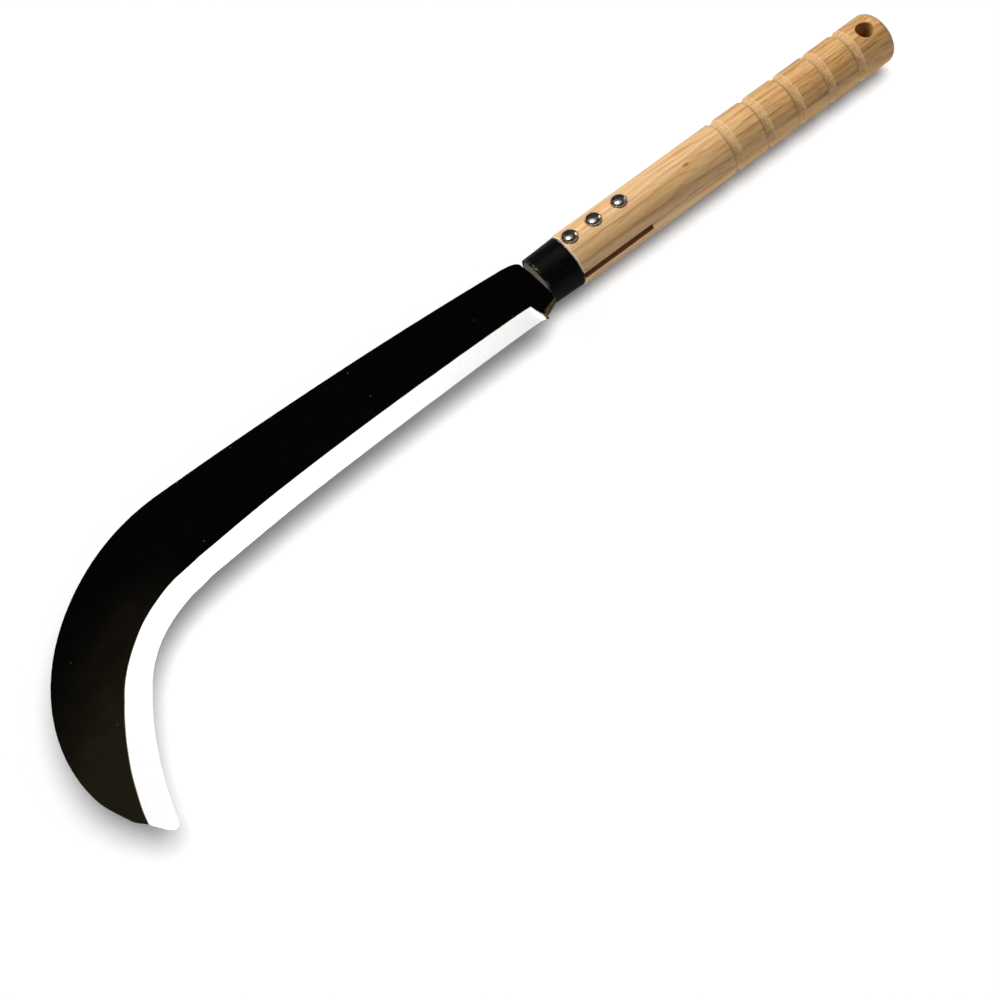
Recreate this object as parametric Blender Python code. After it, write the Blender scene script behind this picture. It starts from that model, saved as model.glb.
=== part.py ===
"""Hand sickle, built as it comes apart on a bench.

One forged blade with a flat tang, a turned hardwood handle sawn with a kerf for
the tang, a tapered steel ferrule, three semi-tubular rivets and a foil label.

Frame: the origin is the centre of the flat butt of the handle. +X runs along the
handle towards the blade, +Y is the cutting-edge side (the side the hook opens to)
and +Z is the face that carries the rivet heads. The blade's mid-plane is Z = 0.
Sizes are in millimetres and the scene is in metres. "Rear" is towards the butt.
"""

import math

import bmesh
import bpy
from mathutils import Vector

MM = 0.001

# ---- sizes that several pieces share ------------------------------------------
CLEARANCE = 0.3                 # gap between neighbouring pieces
HANDLE_LENGTH = 263.0
BLADE_THICKNESS = 3.0
BARREL_SEGMENTS = 44            # round the handle and the ferrule
HOLE_SEGMENTS = 28              # round the rivets and every drilled hole

FERRULE_LENGTH = 20.0
FERRULE_X = HANDLE_LENGTH - FERRULE_LENGTH      # rear rim
FERRULE_R_REAR = 15.6
FERRULE_R_FRONT = 14.9
FERRULE_WALL = 1.2

RIVET_X = {"rivet_front": 237.1, "rivet_middle": 220.4, "rivet_rear": 202.3}
RIVET_ROTATION = (0.0, 0.0, math.radians(4))
SHANK_R = 2.5
RIVET_HOLE_R = SHANK_R + CLEARANCE
HEAD_R = 4.75
HEAD_SEAT_Z = 15.45             # flat seats cut into the round of the handle
TAIL_R = 3.8
TAIL_SEAT_Z = -15.85


# ---- helpers ------------------------------------------------------------------
def clear_scene():
    for obj in list(bpy.data.objects):
        bpy.data.objects.remove(obj, do_unlink=True)


def place(obj, location, rotation=(0.0, 0.0, 0.0)):
    obj.location = [value * MM for value in location]
    obj.rotation_euler = rotation


def make_object(name, shape, mat=None, smooth_angle=None):
    """Turns a bmesh into an object; edges sharper than smooth_angle degrees stay hard."""
    bmesh.ops.recalc_face_normals(shape, faces=shape.faces[:])
    mesh = bpy.data.meshes.new(name)
    shape.to_mesh(mesh)
    shape.free()
    if mat:
        mesh.materials.append(mat)
    if smooth_angle is not None:
        mesh.shade_smooth()
        mesh.set_sharp_from_angle(angle=math.radians(smooth_angle))
    obj = bpy.data.objects.new(name, mesh)
    bpy.context.scene.collection.objects.link(obj)
    return obj


def circle(radius, segments, phase=0.0):
    """Points round a circle; phase shifts them by a share of one segment."""
    angles = [2 * math.pi * (i + phase) / segments for i in range(segments)]
    return [(radius * math.cos(angle), radius * math.sin(angle)) for angle in angles]


def add_ring(shape, points):
    return [shape.verts.new(Vector(point) * MM) for point in points]


def bridge(shape, first, second):
    """Faces between two rings, either of which may be a single pole."""
    count = max(len(first), len(second))
    for i in range(count):
        j = (i + 1) % count
        if len(first) == 1:
            corners = (first[0], second[j], second[i])
        elif len(second) == 1:
            corners = (first[i], first[j], second[0])
        else:
            corners = (first[i], first[j], second[j], second[i])
        shape.faces.new(corners)


def loft(sections):
    """A closed solid through rings of equal point count, capped at both ends."""
    shape = bmesh.new()
    rings = [add_ring(shape, section) for section in sections]
    for first, second in zip(rings, rings[1:]):
        bridge(shape, first, second)
    shape.faces.new(rings[0])
    shape.faces.new(rings[-1][::-1])
    return shape


def turned(profile):
    """Spins a (radius, z) profile about Z; points of radius 0 become poles."""
    shape = bmesh.new()
    rings = []
    for radius, z in profile:
        points = circle(radius, HOLE_SEGMENTS) if radius else [(0.0, 0.0)]
        rings.append(add_ring(shape, [(x, y, z) for x, y in points]))
    for first, second in zip(rings, rings[1:]):
        bridge(shape, first, second)
    return shape


def rod(radius, reach):
    """A cylinder along Z, from -reach to +reach."""
    return turned([(0.0, reach), (radius, reach), (radius, -reach), (0.0, -reach)])


def cut(target, name, shape, location=(0.0, 0.0, 0.0), rotation=(0.0, 0.0, 0.0)):
    """Subtracts a shape from the target through a hidden cutter object."""
    tool = make_object(name, shape)
    tool.hide_render = True
    tool.display_type = "WIRE"
    place(tool, location, rotation)
    mod = target.modifiers.new(name, "BOOLEAN")
    mod.operation = "DIFFERENCE"
    mod.solver = "EXACT"
    mod.object = tool


# ---- materials ----------------------------------------------------------------
def material(name, colour, roughness, metallic):
    mat = bpy.data.materials.new(name)
    mat.use_nodes = True
    node = mat.node_tree.nodes["Principled BSDF"]
    node.inputs["Base Color"].default_value = (*colour, 1.0)
    node.inputs["Roughness"].default_value = roughness
    node.inputs["Metallic"].default_value = metallic
    mat.diffuse_color = (*colour, 1.0)
    return mat


def ash_wood():
    return material("ash_wood", colour=(0.47, 0.29, 0.135), roughness=0.5, metallic=0.0)


def black_lacquer():
    return material("black_lacquer", colour=(0.004, 0.004, 0.005), roughness=0.25, metallic=0.0)


def black_paint():
    return material("black_paint", colour=(0.006, 0.005, 0.005), roughness=0.35, metallic=0.0)


def rivet_steel():
    return material("rivet_steel", colour=(0.42, 0.40, 0.38), roughness=0.22, metallic=1.0)


def label_foil():
    return material("label_foil", colour=(0.45, 0.46, 0.48), roughness=0.35, metallic=0.9)


# ---- handle -------------------------------------------------------------------
SHOULDER_GAP = 0.6              # from the shoulder to the rear rim of the ferrule
SHOULDER_X = HANDLE_LENGTH - (FERRULE_LENGTH + SHOULDER_GAP)
SHOULDER_ROUND = 0.6
NOSE_BREAK = 0.4                # edge break at the front of the nose
BARREL_R_FRONT = 16.1           # at the shoulder
BARREL_R_BUTT = 17.0            # the grip swells slightly towards the butt
BUTT_ROUND = 6.0
BUTT_STEPS = 6
GROOVE_COUNT = 5
GROOVE_FRONT_X = 127.0          # centre of the groove nearest the blade
GROOVE_PITCH = 24.6
GROOVE_HALF_WIDTH = 3.3
GROOVE_DEPTH = 1.3
GROOVE_HALF_STEPS = 3
GROOVE_LEAN_Y = 0.073           # X shift per mm of Y and Z, so the grooves
GROOVE_LEAN_Z = -0.036          # stand a little out of square
LEAN_FADE = ((160.0, 0.3), (195.0, 0.0))        # x, share of the lean left there

KERF_WIDTH = BLADE_THICKNESS + 2 * CLEARANCE
KERF_END_X = 193.8
KERF_FLOOR_Y = -11.2            # the saw cut stops short of the spine side
KERF_OPEN_Y = 22.0              # the cutter runs out past the edge side
KERF_OVERRUN = 5.0              # and past the front of the nose

SEAT_MARGIN = 0.35              # round the rivet head and tail
RIVET_CUT_REACH = 21.0
HANG_HOLE_CENTRE = (14.2, 0.5, 0.0)
HANG_HOLE_R = 5.8
HANG_HOLE_TILT = math.radians(11.4)
HANG_CUT_REACH = 24.0


def barrel_radius(x):
    return BARREL_R_BUTT + (BARREL_R_FRONT - BARREL_R_BUTT) * x / SHOULDER_X


def nose_radius(x):
    """Follows the bore of the ferrule, one clearance inside it."""
    share = (x - FERRULE_X) / FERRULE_LENGTH
    outer = FERRULE_R_REAR + (FERRULE_R_FRONT - FERRULE_R_REAR) * share
    return outer - FERRULE_WALL - CLEARANCE


def butt_stations():
    stations = []
    for i in range(BUTT_STEPS, -1, -1):
        angle = math.pi / 2 * i / BUTT_STEPS
        radius = barrel_radius(BUTT_ROUND) - BUTT_ROUND * (1 - math.cos(angle))
        stations.append((BUTT_ROUND * (1 - math.sin(angle)), radius, 0.0))
    return stations


def groove_stations():
    """Coves of circular section, from the one nearest the butt forwards."""
    cove_radius = (GROOVE_HALF_WIDTH**2 + GROOVE_DEPTH**2) / (2 * GROOVE_DEPTH)
    stations = []
    for k in range(GROOVE_COUNT):
        centre = GROOVE_FRONT_X - GROOVE_PITCH * (GROOVE_COUNT - 1 - k)
        for i in range(-GROOVE_HALF_STEPS, GROOVE_HALF_STEPS + 1):
            offset = GROOVE_HALF_WIDTH * i / GROOVE_HALF_STEPS
            depth = math.sqrt(cove_radius**2 - offset**2) - (cove_radius - GROOVE_DEPTH)
            x = centre + offset
            stations.append((x, barrel_radius(x) - depth, 1.0))
    return stations


def handle_stations():
    """(x, radius, share of lean) from the butt to the front of the nose."""
    shoulder_r = barrel_radius(SHOULDER_X)
    nose_r = nose_radius(HANDLE_LENGTH)
    return [
        *butt_stations(),
        *groove_stations(),
        *[(x, barrel_radius(x), lean) for x, lean in LEAN_FADE],
        (SHOULDER_X - SHOULDER_ROUND, shoulder_r, 0.0),
        (SHOULDER_X, shoulder_r - SHOULDER_ROUND, 0.0),
        (SHOULDER_X, nose_radius(SHOULDER_X), 0.0),
        (HANDLE_LENGTH - NOSE_BREAK, nose_r, 0.0),
        (HANDLE_LENGTH, nose_r - NOSE_BREAK, 0.0),
    ]


def handle_shape():
    return loft([
        [(x + lean * (GROOVE_LEAN_Y * y + GROOVE_LEAN_Z * z), y, z)
         for y, z in circle(radius, BARREL_SEGMENTS, phase=0.5)]
        for x, radius, lean in handle_stations()])


def kerf_shape():
    low = Vector((KERF_END_X, KERF_FLOOR_Y, -KERF_WIDTH / 2))
    high = Vector((HANDLE_LENGTH + KERF_OVERRUN, KERF_OPEN_Y, KERF_WIDTH / 2))
    shape = bmesh.new()
    bmesh.ops.create_cube(shape, size=1.0)
    bmesh.ops.scale(shape, vec=(high - low) * MM, verts=shape.verts[:])
    bmesh.ops.translate(shape, vec=(high + low) / 2 * MM, verts=shape.verts[:])
    return shape


def rivet_hole_shape():
    """Drilled hole with a wider, flat-seated pocket at each end."""
    head_pocket = HEAD_R + SEAT_MARGIN
    tail_pocket = TAIL_R + SEAT_MARGIN
    return turned([
        (0.0, RIVET_CUT_REACH), (head_pocket, RIVET_CUT_REACH),
        (head_pocket, HEAD_SEAT_Z), (RIVET_HOLE_R, HEAD_SEAT_Z),
        (RIVET_HOLE_R, TAIL_SEAT_Z), (tail_pocket, TAIL_SEAT_Z),
        (tail_pocket, -RIVET_CUT_REACH), (0.0, -RIVET_CUT_REACH)])


def build_handle(mat):
    handle = make_object("handle", handle_shape(), mat, smooth_angle=32)
    cut(handle, "cut_kerf", kerf_shape())
    for name, x in RIVET_X.items():
        cut(handle, "cut_" + name, rivet_hole_shape(), (x, 0.0, 0.0), RIVET_ROTATION)
    cut(handle, "cut_hanging_hole", rod(HANG_HOLE_R, HANG_CUT_REACH),
        HANG_HOLE_CENTRE, (-HANG_HOLE_TILT, 0.0, 0.0))
    return handle


# ---- ferrule ------------------------------------------------------------------
FERRULE_LIP = 0.4               # edge break at both outer rims


def build_ferrule(mat):
    # (radius, distance from the rear rim), a closed loop
    outline = [
        (FERRULE_R_REAR - FERRULE_LIP, 0.0),
        (FERRULE_R_REAR, FERRULE_LIP),
        (FERRULE_R_FRONT, FERRULE_LENGTH - FERRULE_LIP),
        (FERRULE_R_FRONT - FERRULE_LIP, FERRULE_LENGTH),
        (FERRULE_R_FRONT - FERRULE_WALL, FERRULE_LENGTH),
        (FERRULE_R_REAR - FERRULE_WALL, 0.0),
    ]
    shape = bmesh.new()
    rings = [add_ring(shape, [(x, y, z) for y, z in circle(radius, BARREL_SEGMENTS)])
             for radius, x in outline]
    for first, second in zip(rings, rings[1:] + rings[:1]):
        bridge(shape, first, second)
    ferrule = make_object("ferrule", shape, mat, smooth_angle=32)
    place(ferrule, (FERRULE_X, 0.0, 0.0))
    return ferrule


# ---- rivets -------------------------------------------------------------------
HEAD_HEIGHT = 2.8
DOME_BASE = 0.5                 # height of the dome's centre above the head's underside
DOME_STEP = math.radians(15)
DOME_RINGS = 5
HEAD_RIM = 0.45                 # height of the straight rim
HEAD_UNDERCUT = 0.25            # the underside is this much smaller in radius
TAIL_HOLE_R = 2.1
TAIL_BORE_R = TAIL_HOLE_R - 0.5
TAIL_HOLE_DEPTH = 6.5
TAIL_CONE = 1.5                 # length of the cone at the bottom of the hole
# radius, z from the foot: over the rolled rim and up into the hollow of the tail
TAIL_PROFILE = (
    (TAIL_R - 0.3, 0.0), (TAIL_R, -0.35), (TAIL_R - 0.35, -0.95), (TAIL_R - 0.95, -1.1),
    (TAIL_HOLE_R, -0.6), (TAIL_BORE_R, 1.2), (TAIL_BORE_R, TAIL_HOLE_DEPTH - TAIL_CONE),
    (0.0, TAIL_HOLE_DEPTH),
)


def rivet_shape():
    """Domed head on +Z, solid shank, and a rolled hollow tail on -Z."""
    seat = HEAD_SEAT_Z + CLEARANCE
    foot = TAIL_SEAT_Z - CLEARANCE
    profile = [(0.0, seat + HEAD_HEIGHT)]
    for i in range(1, DOME_RINGS + 1):
        angle = DOME_STEP * i
        height = DOME_BASE + (HEAD_HEIGHT - DOME_BASE) * math.cos(angle)
        profile.append((HEAD_R * math.sin(angle), seat + height))
    profile += [(HEAD_R, seat + HEAD_RIM), (HEAD_R - HEAD_UNDERCUT, seat),
                (SHANK_R, seat), (SHANK_R, foot)]
    profile += [(radius, foot + z) for radius, z in TAIL_PROFILE]
    return turned(profile)


def build_rivets(mat):
    rivets = []
    for name, x in RIVET_X.items():
        rivet = make_object(name, rivet_shape(), mat, smooth_angle=40)
        place(rivet, (x, 0.0, 0.0), RIVET_ROTATION)
        rivets.append(rivet)
    return rivets


# ---- blade --------------------------------------------------------------------
EDGE_THICKNESS = 0.4
TANG_EDGE_THICKNESS = 1.8       # on the tang and neck
TANG_FACET = 0.6                # width of the slope along the tang's edge side
NECK_FACET = 0.8                # the same at the first neck station
NECK_FACET_STEP = 1.0           # and its growth per station
BEVEL_WIDTH_TOP = 13.2          # ground bevel on the rivet-head face
BEVEL_WIDTH_BOTTOM = 11.6       # and on the other face
BEVEL_TIP_GROWTH_TOP = 6.0      # extra bevel width reached at the tip
BEVEL_TIP_GROWTH_BOTTOM = 8.0
BEVEL_START_TRIM = 1.5          # both bevels are narrower where the spine starts
BODY_STEPS = 34
TIP_STEPS = 8
TANG_CUT_REACH = 4.0

# x, y on the spine side, y on the edge side
TANG = ((196.5, -8.0, 9.0), (263.2, -10.2, 11.2))
# point on the spine side, point on the edge side
NECK = (((263.9, -15.8), (263.9, 17.8)),
        ((265.6, -18.6), (266.6, 19.3)),
        ((267.8, -20.4), (270.2, 21.3)),
        ((270.4, -21.5), (274.4, 23.6)))

SPINE_START = (272.0, -21.8)
SPINE_HEADING = math.radians(-6.3)
SPINE_ARCS = ((213.0, 1970.0), (44.5, 84.5), (150.0, 103.0))    # length, radius
SPINE_LENGTH = sum(length for length, _ in SPINE_ARCS)
# distance along the spine, blade width square to the spine
WIDTHS = ((0.0, 45.0), (80.0, 51.9), (160.0, 57.4), (228.0, 62.5),
          (268.0, 59.8), (308.0, 53.2), (352.0, 45.3))
TIP_START = WIDTHS[-1][0]       # beyond this the edge is a quadratic curve to the tip
TIP_LENGTH = SPINE_LENGTH - TIP_START
TIP_EDGE_CONTROL = (547.5, 88.0)
TIP_POINT = (551.8, 128.5)


def spine_at(distance):
    """Point and heading on the spine, which is a chain of arcs."""
    x, y = SPINE_START
    heading = SPINE_HEADING
    for length, radius in SPINE_ARCS:
        step = min(distance, length)
        turn = step / radius
        chord = 2 * radius * math.sin(turn / 2)
        x += chord * math.cos(heading + turn / 2)
        y += chord * math.sin(heading + turn / 2)
        heading += turn
        distance -= step
        if distance <= 0:
            break
    return Vector((x, y)), heading


def width_at(distance):
    """Smooth (cubic Hermite) interpolation through WIDTHS."""
    stations, widths = zip(*WIDTHS)
    last = len(stations) - 1
    i = max(j for j in range(last) if stations[j] <= distance)

    def slope(j):
        low, high = max(j - 1, 0), min(j + 1, last)
        return (widths[high] - widths[low]) / (stations[high] - stations[low])

    span = stations[i + 1] - stations[i]
    t = (distance - stations[i]) / span
    return ((2 * t**3 - 3 * t**2 + 1) * widths[i]
            + (t**3 - 2 * t**2 + t) * slope(i) * span
            + (3 * t**2 - 2 * t**3) * widths[i + 1]
            + (t**3 - t**2) * slope(i + 1) * span)


def tip_share(distance):
    """0 along the body of the blade, rising to 1 at the tip."""
    return max(0.0, (distance - TIP_START) / TIP_LENGTH)


def edge_at(distance):
    """Point on the cutting edge that belongs to a distance along the spine."""
    spine, heading = spine_at(min(distance, TIP_START))
    across = Vector((-math.sin(heading), math.cos(heading)))
    edge = spine + width_at(min(distance, TIP_START)) * across
    t = tip_share(distance)
    if t == 0:
        return edge
    return (edge * (1 - t) ** 2 + Vector(TIP_EDGE_CONTROL) * 2 * t * (1 - t)
            + Vector(TIP_POINT) * t**2)


def blade_section(spine, edge, bevel_top, bevel_bottom, edge_thickness):
    spine, edge = Vector(spine), Vector(edge)
    back = (spine - edge).normalized()
    half, half_edge = BLADE_THICKNESS / 2, edge_thickness / 2
    top = edge + back * bevel_top
    bottom = edge + back * bevel_bottom
    return [(*spine, half), (*top, half), (*edge, half_edge),
            (*edge, -half_edge), (*bottom, -half), (*spine, -half)]


def blade_shape():
    sections = [blade_section((x, y_spine), (x, y_edge), TANG_FACET, TANG_FACET,
                              TANG_EDGE_THICKNESS)
                for x, y_spine, y_edge in TANG]
    for i, (spine, edge) in enumerate(NECK):
        facet = NECK_FACET + i * NECK_FACET_STEP
        sections.append(blade_section(spine, edge, facet, facet, TANG_EDGE_THICKNESS))

    distances = [TIP_START * i / BODY_STEPS for i in range(BODY_STEPS + 1)]
    distances += [TIP_START + TIP_LENGTH * i / TIP_STEPS for i in range(1, TIP_STEPS + 1)]
    for distance in distances:
        spine, _ = spine_at(distance)
        share = tip_share(distance)
        trim = BEVEL_START_TRIM if distance == 0 else 0.0
        sections.append(blade_section(
            spine, edge_at(distance),
            BEVEL_WIDTH_TOP + share * BEVEL_TIP_GROWTH_TOP - trim,
            BEVEL_WIDTH_BOTTOM + share * BEVEL_TIP_GROWTH_BOTTOM - trim,
            EDGE_THICKNESS))
    return loft(sections)


def build_blade(mat):
    blade = make_object("blade", blade_shape(), mat, smooth_angle=12)
    for name, x in RIVET_X.items():
        cut(blade, "cut_tang_" + name, rod(RIVET_HOLE_R, TANG_CUT_REACH),
            (x, 0.0, 0.0), RIVET_ROTATION)
    return blade


# ---- label --------------------------------------------------------------------
LABEL_CENTRE = (334.0, -7.7)
LABEL_LENGTH = 68.0
LABEL_HEIGHT = 19.0
LABEL_THICKNESS = 0.2
LABEL_TURN = math.radians(2.6)
LABEL_GAP = 0.1                 # between the label and the blade's -Z face
LABEL_END_STEPS = 14


def build_label(mat):
    """A flat strip with half-round ends."""
    radius = LABEL_HEIGHT / 2
    straight = LABEL_LENGTH / 2 - radius
    outline = []
    for sign in (1, -1):
        for i in range(LABEL_END_STEPS + 1):
            angle = math.pi * (i / LABEL_END_STEPS - 0.5)
            outline.append((sign * (straight + radius * math.cos(angle)),
                            sign * radius * math.sin(angle)))
    shape = loft([[(x, y, z) for x, y in outline] for z in (0.0, LABEL_THICKNESS)])
    label = make_object("label", shape, mat)
    place(label, (*LABEL_CENTRE, -BLADE_THICKNESS / 2 - LABEL_GAP - LABEL_THICKNESS),
          (0.0, 0.0, LABEL_TURN))
    return label


def main():
    clear_scene()
    root = bpy.data.objects.new("sickle", None)
    bpy.context.scene.collection.objects.link(root)
    pieces = [
        build_blade(black_lacquer()),
        build_handle(ash_wood()),
        build_ferrule(black_paint()),
        build_label(label_foil()),
        *build_rivets(rivet_steel()),
    ]
    for piece in pieces:
        piece.parent = root


main()
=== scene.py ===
import math

import bmesh
import bpy
from mathutils import Matrix, Vector, noise


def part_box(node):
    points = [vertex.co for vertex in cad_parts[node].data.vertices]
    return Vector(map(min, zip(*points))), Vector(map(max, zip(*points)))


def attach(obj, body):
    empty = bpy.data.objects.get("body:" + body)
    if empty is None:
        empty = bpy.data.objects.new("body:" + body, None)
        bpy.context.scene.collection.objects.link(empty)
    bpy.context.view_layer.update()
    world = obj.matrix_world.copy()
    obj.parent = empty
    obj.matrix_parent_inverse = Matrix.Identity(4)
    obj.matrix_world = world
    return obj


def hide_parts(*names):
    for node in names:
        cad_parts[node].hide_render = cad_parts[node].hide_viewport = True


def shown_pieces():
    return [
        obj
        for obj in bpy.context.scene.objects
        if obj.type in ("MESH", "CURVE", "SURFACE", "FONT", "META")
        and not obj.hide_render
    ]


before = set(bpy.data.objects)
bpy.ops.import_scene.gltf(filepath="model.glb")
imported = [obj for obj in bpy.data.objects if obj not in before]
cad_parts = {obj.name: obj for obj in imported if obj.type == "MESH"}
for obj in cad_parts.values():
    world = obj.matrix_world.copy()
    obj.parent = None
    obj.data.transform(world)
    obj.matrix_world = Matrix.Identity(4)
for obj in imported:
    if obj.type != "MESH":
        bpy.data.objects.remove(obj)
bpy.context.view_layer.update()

# The looks of the hand sickle. Lengths are in millimetres until a mesh is made.
# Row frame: origin at the centre of the butt, +X along the handle to the blade,
# +Y the cutting-edge side, +Z the face with the rivet heads.
MM = 0.001


def node_box(name):
    lo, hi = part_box(name)
    return lo * 1000.0, hi * 1000.0


HANDLE_LO, HANDLE_HI = node_box("handle")
FERRULE_LO, FERRULE_HI = node_box("ferrule")
BLADE_LO, BLADE_HI = node_box("blade")
LABEL_LO, LABEL_HI = node_box("label")

LENGTH = HANDLE_HI.x                              # front face of the nose
SHOULDER = FERRULE_LO.x - 0.6                     # step behind the ferrule
BARREL_BUTT = (HANDLE_HI.z - HANDLE_LO.z) / 2 + 0.04
BARREL_FRONT = BARREL_BUTT - 0.9
BLADE_T = 3.0


# ---------------------------------------------------------------- small helpers
def lerp(a, b, t):
    return a + (b - a) * t


def smoothstep(a, b, x):
    t = min(max((x - a) / (b - a), 0.0), 1.0)
    return t * t * (3 - 2 * t)


def wobble(x, y=0.0, z=0.0, seed=0.0):
    """Smooth noise, about -1 to 1."""
    return noise.noise(Vector((x + 17.3 * seed, y - 5.1 * seed, z + 3.7 * seed)))


def hermite(knots, x):
    xs = [k[0] for k in knots]
    ys = [k[1] for k in knots]
    x = min(max(x, xs[0]), xs[-1])
    i = max(j for j in range(len(xs) - 1) if xs[j] <= x)

    def slope(j):
        lo, hi = max(j - 1, 0), min(j + 1, len(xs) - 1)
        return (ys[hi] - ys[lo]) / (xs[hi] - xs[lo])

    w = xs[i + 1] - xs[i]
    t = (x - xs[i]) / w
    a, b = slope(i) * w, slope(i + 1) * w
    return ((2 * t**3 - 3 * t**2 + 1) * ys[i] + (t**3 - 2 * t**2 + t) * a
            + (3 * t**2 - 2 * t**3) * ys[i + 1] + (t**3 - t**2) * b)


def along(points, t):
    """Point at share t of a smooth curve through control points."""
    n = len(points) - 1
    return Vector([hermite([(i / n, p[k]) for i, p in enumerate(points)], t) for k in range(2)])


def piece(name, verts, faces, materials, face_mats=None, uvs=None, angle=30):
    """A mesh object from millimetre vertices. uvs: {layer: function(face, corner)}."""
    mesh = bpy.data.meshes.new(name)
    mesh.from_pydata([(x * MM, y * MM, z * MM) for x, y, z in verts], [], faces)
    for mat in materials:
        mesh.materials.append(mat)
    if face_mats:
        mesh.polygons.foreach_set("material_index", face_mats)
    for layer, values in (uvs or {}).items():
        uv = mesh.uv_layers.new(name=layer)
        flat = [c for face in values for corner in face for c in corner]
        uv.data.foreach_set("uv", flat)
    mesh.validate()
    mesh.update()
    mesh.shade_smooth()
    if angle is not None:
        mesh.set_sharp_from_angle(angle=math.radians(angle))
    obj = bpy.data.objects.new(name, mesh)
    bpy.context.scene.collection.objects.link(obj)
    return obj


def turned(profile, segments, origin=(0, 0, 0), axis="Z", warp=None):
    """Verts and faces of an (r, h) profile spun about an axis; r = 0 is a pole."""
    verts, faces, rings = [], [], []
    for k, (r, h) in enumerate(profile):
        ring = []
        for i in range(1 if r == 0 else segments):
            a = 2 * math.pi * i / segments
            rr, hh = (r, h) if warp is None else warp(r, h, a, k)
            p = (rr * math.cos(a), rr * math.sin(a), hh)
            if axis == "X":
                p = (p[2], p[0], p[1])
            ring.append(len(verts))
            verts.append((p[0] + origin[0], p[1] + origin[1], p[2] + origin[2]))
        rings.append(ring)
    for a, b in zip(rings, rings[1:]):
        for i in range(segments):
            j = (i + 1) % segments
            if len(a) == 1:
                faces.append((a[0], b[j], b[i]))
            elif len(b) == 1:
                faces.append((a[i], a[j], b[0]))
            else:
                faces.append((a[i], a[j], b[j], b[i]))
    return verts, faces


def outward(obj):
    bm = bmesh.new()
    bm.from_mesh(obj.data)
    bmesh.ops.recalc_face_normals(bm, faces=bm.faces[:])
    bm.to_mesh(obj.data)
    bm.free()


def carve(target, tools):
    """Cuts the tools out of target and keeps the result as target's own mesh."""
    for tool in tools:
        mod = target.modifiers.new(tool.name, "BOOLEAN")
        mod.operation = "DIFFERENCE"
        mod.solver = "EXACT"
        mod.material_mode = "TRANSFER"
        mod.object = tool
    bpy.context.view_layer.update()
    dg = bpy.context.evaluated_depsgraph_get()
    mesh = bpy.data.meshes.new_from_object(target.evaluated_get(dg))
    old = target.data
    target.modifiers.clear()
    target.data = mesh
    bpy.data.meshes.remove(old)
    for tool in tools:
        bpy.data.objects.remove(tool, do_unlink=True)
    target.data.shade_smooth()


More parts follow.
